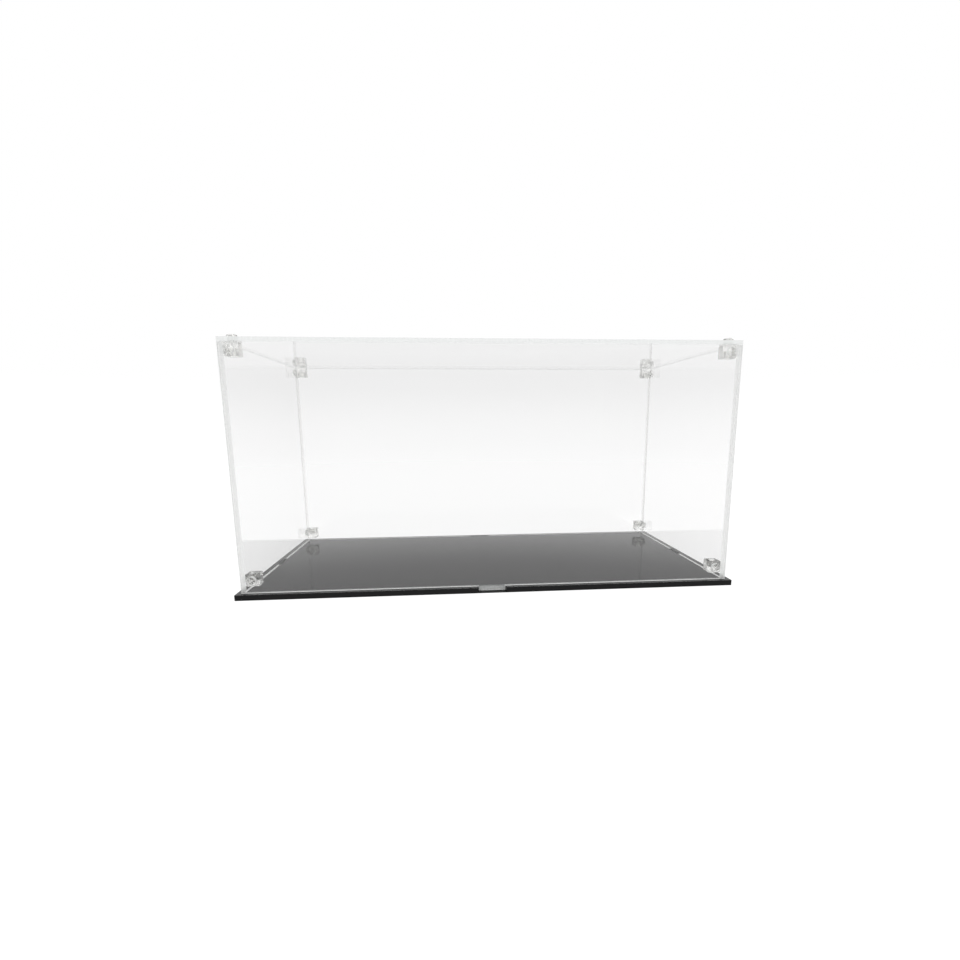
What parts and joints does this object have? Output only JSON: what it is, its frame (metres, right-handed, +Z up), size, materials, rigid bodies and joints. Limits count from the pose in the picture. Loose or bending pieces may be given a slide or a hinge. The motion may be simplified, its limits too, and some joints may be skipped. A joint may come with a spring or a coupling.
{
  "type": "football display case",
  "caption": "Clear rectangular display cover with snap-in corner connectors that lifts straight up off a gloss black base, for showing one football.",
  "frame": {"origin": "centre of the base's underside, on the surface the case stands on", "axes": "+X along the length to the right as seen from the front, +Y from front to back, +Z up"},
  "size_m": [0.4, 0.2, 0.1983],
  "materials": {
    "black_acrylic": "cast black acrylic sheet, mirror gloss faces, laser-cut edges",
    "clear_acrylic": "cast clear acrylic sheet, polished faces, bright laser-cut edges",
    "clear_moulding": "injection-moulded clear styrene, glossy, with small flow marks"
  },
  "bodies": {
    "base": {"base_plate": "black_acrylic"},
    "cover": {"front_panel": "clear_acrylic", "back_panel": "clear_acrylic", "left_panel": "clear_acrylic", "right_panel": "clear_acrylic", "top_panel": "clear_acrylic", "connector_top_front_left": "clear_moulding", "connector_top_back_left": "clear_moulding", "connector_top_front_right": "clear_moulding", "connector_top_back_right": "clear_moulding", "connector_bottom_front_left": "clear_moulding", "connector_bottom_back_left": "clear_moulding", "connector_bottom_front_right": "clear_moulding", "connector_bottom_back_right": "clear_moulding"}
  },
  "joints": [
    {"name": "cover_lift", "type": "slide", "parent": "base", "child": "cover", "axis": [0, 0, 1], "range_m": [0, 0.22]}
  ]
}
